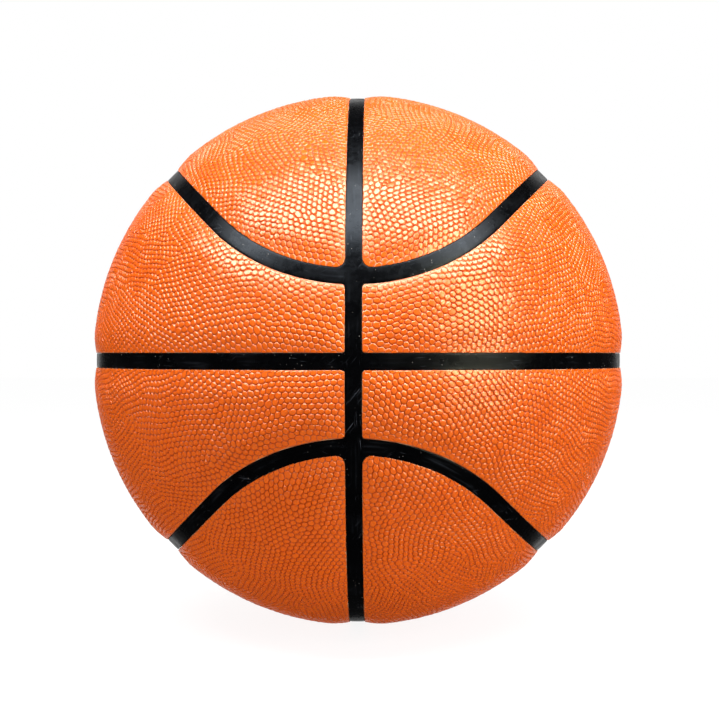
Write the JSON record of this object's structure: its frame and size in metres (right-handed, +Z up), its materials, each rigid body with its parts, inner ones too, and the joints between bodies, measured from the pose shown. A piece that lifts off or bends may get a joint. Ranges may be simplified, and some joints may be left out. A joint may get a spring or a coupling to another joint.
{
  "type": "basketball",
  "caption": "Inflatable laminated basketball: pebbled orange cover panels on sponge pads, black channel strips, wound carcass, bladder and a needle valve.",
  "frame": {"origin": "centre of the ball", "axes": "+Z up, the upright channel lies in the YZ plane and the equator channel in the XY plane; -Y is the front, where the two channels cross, and the valve is at the rear right"},
  "size_m": [0.2374, 0.2364, 0.2374],
  "materials": {
    "cover_composite": "pebbled orange composite leather, satin",
    "sponge_backing": "pale sponge rubber",
    "channel_rubber": "smooth black rubber, slight sheen",
    "carcass_rubber": "moulded black rubber, matt",
    "winding_thread": "cemented nylon thread",
    "bladder_butyl": "butyl rubber, matt",
    "valve_rubber": "moulded rubber, satin"
  },
  "bodies": {
    "root": {"polar_cover_upper_right": "cover_composite", "polar_cover_upper_left": "cover_composite", "polar_cover_lower_right": "cover_composite", "polar_cover_lower_left": "cover_composite", "band_cover_upper_right": "cover_composite", "band_cover_upper_left": "cover_composite", "band_cover_lower_right": "cover_composite", "band_cover_lower_left": "cover_composite", "polar_pad_upper_right": "sponge_backing", "polar_pad_upper_left": "sponge_backing", "polar_pad_lower_right": "sponge_backing", "polar_pad_lower_left": "sponge_backing", "band_pad_upper_right": "sponge_backing", "band_pad_upper_left": "sponge_backing", "band_pad_lower_right": "sponge_backing", "band_pad_lower_left": "sponge_backing", "upright_strip": "channel_rubber", "equator_strip_right": "channel_rubber", "equator_strip_left": "channel_rubber", "loop_strip_upper_right": "channel_rubber", "loop_strip_upper_left": "channel_rubber", "loop_strip_lower_right": "channel_rubber", "loop_strip_lower_left": "channel_rubber", "carcass": "carcass_rubber", "winding": "winding_thread", "bladder": "bladder_butyl", "valve_patch": "bladder_butyl", "valve_housing": "valve_rubber", "valve_plug": "valve_rubber"}
  },
  "joints": []
}
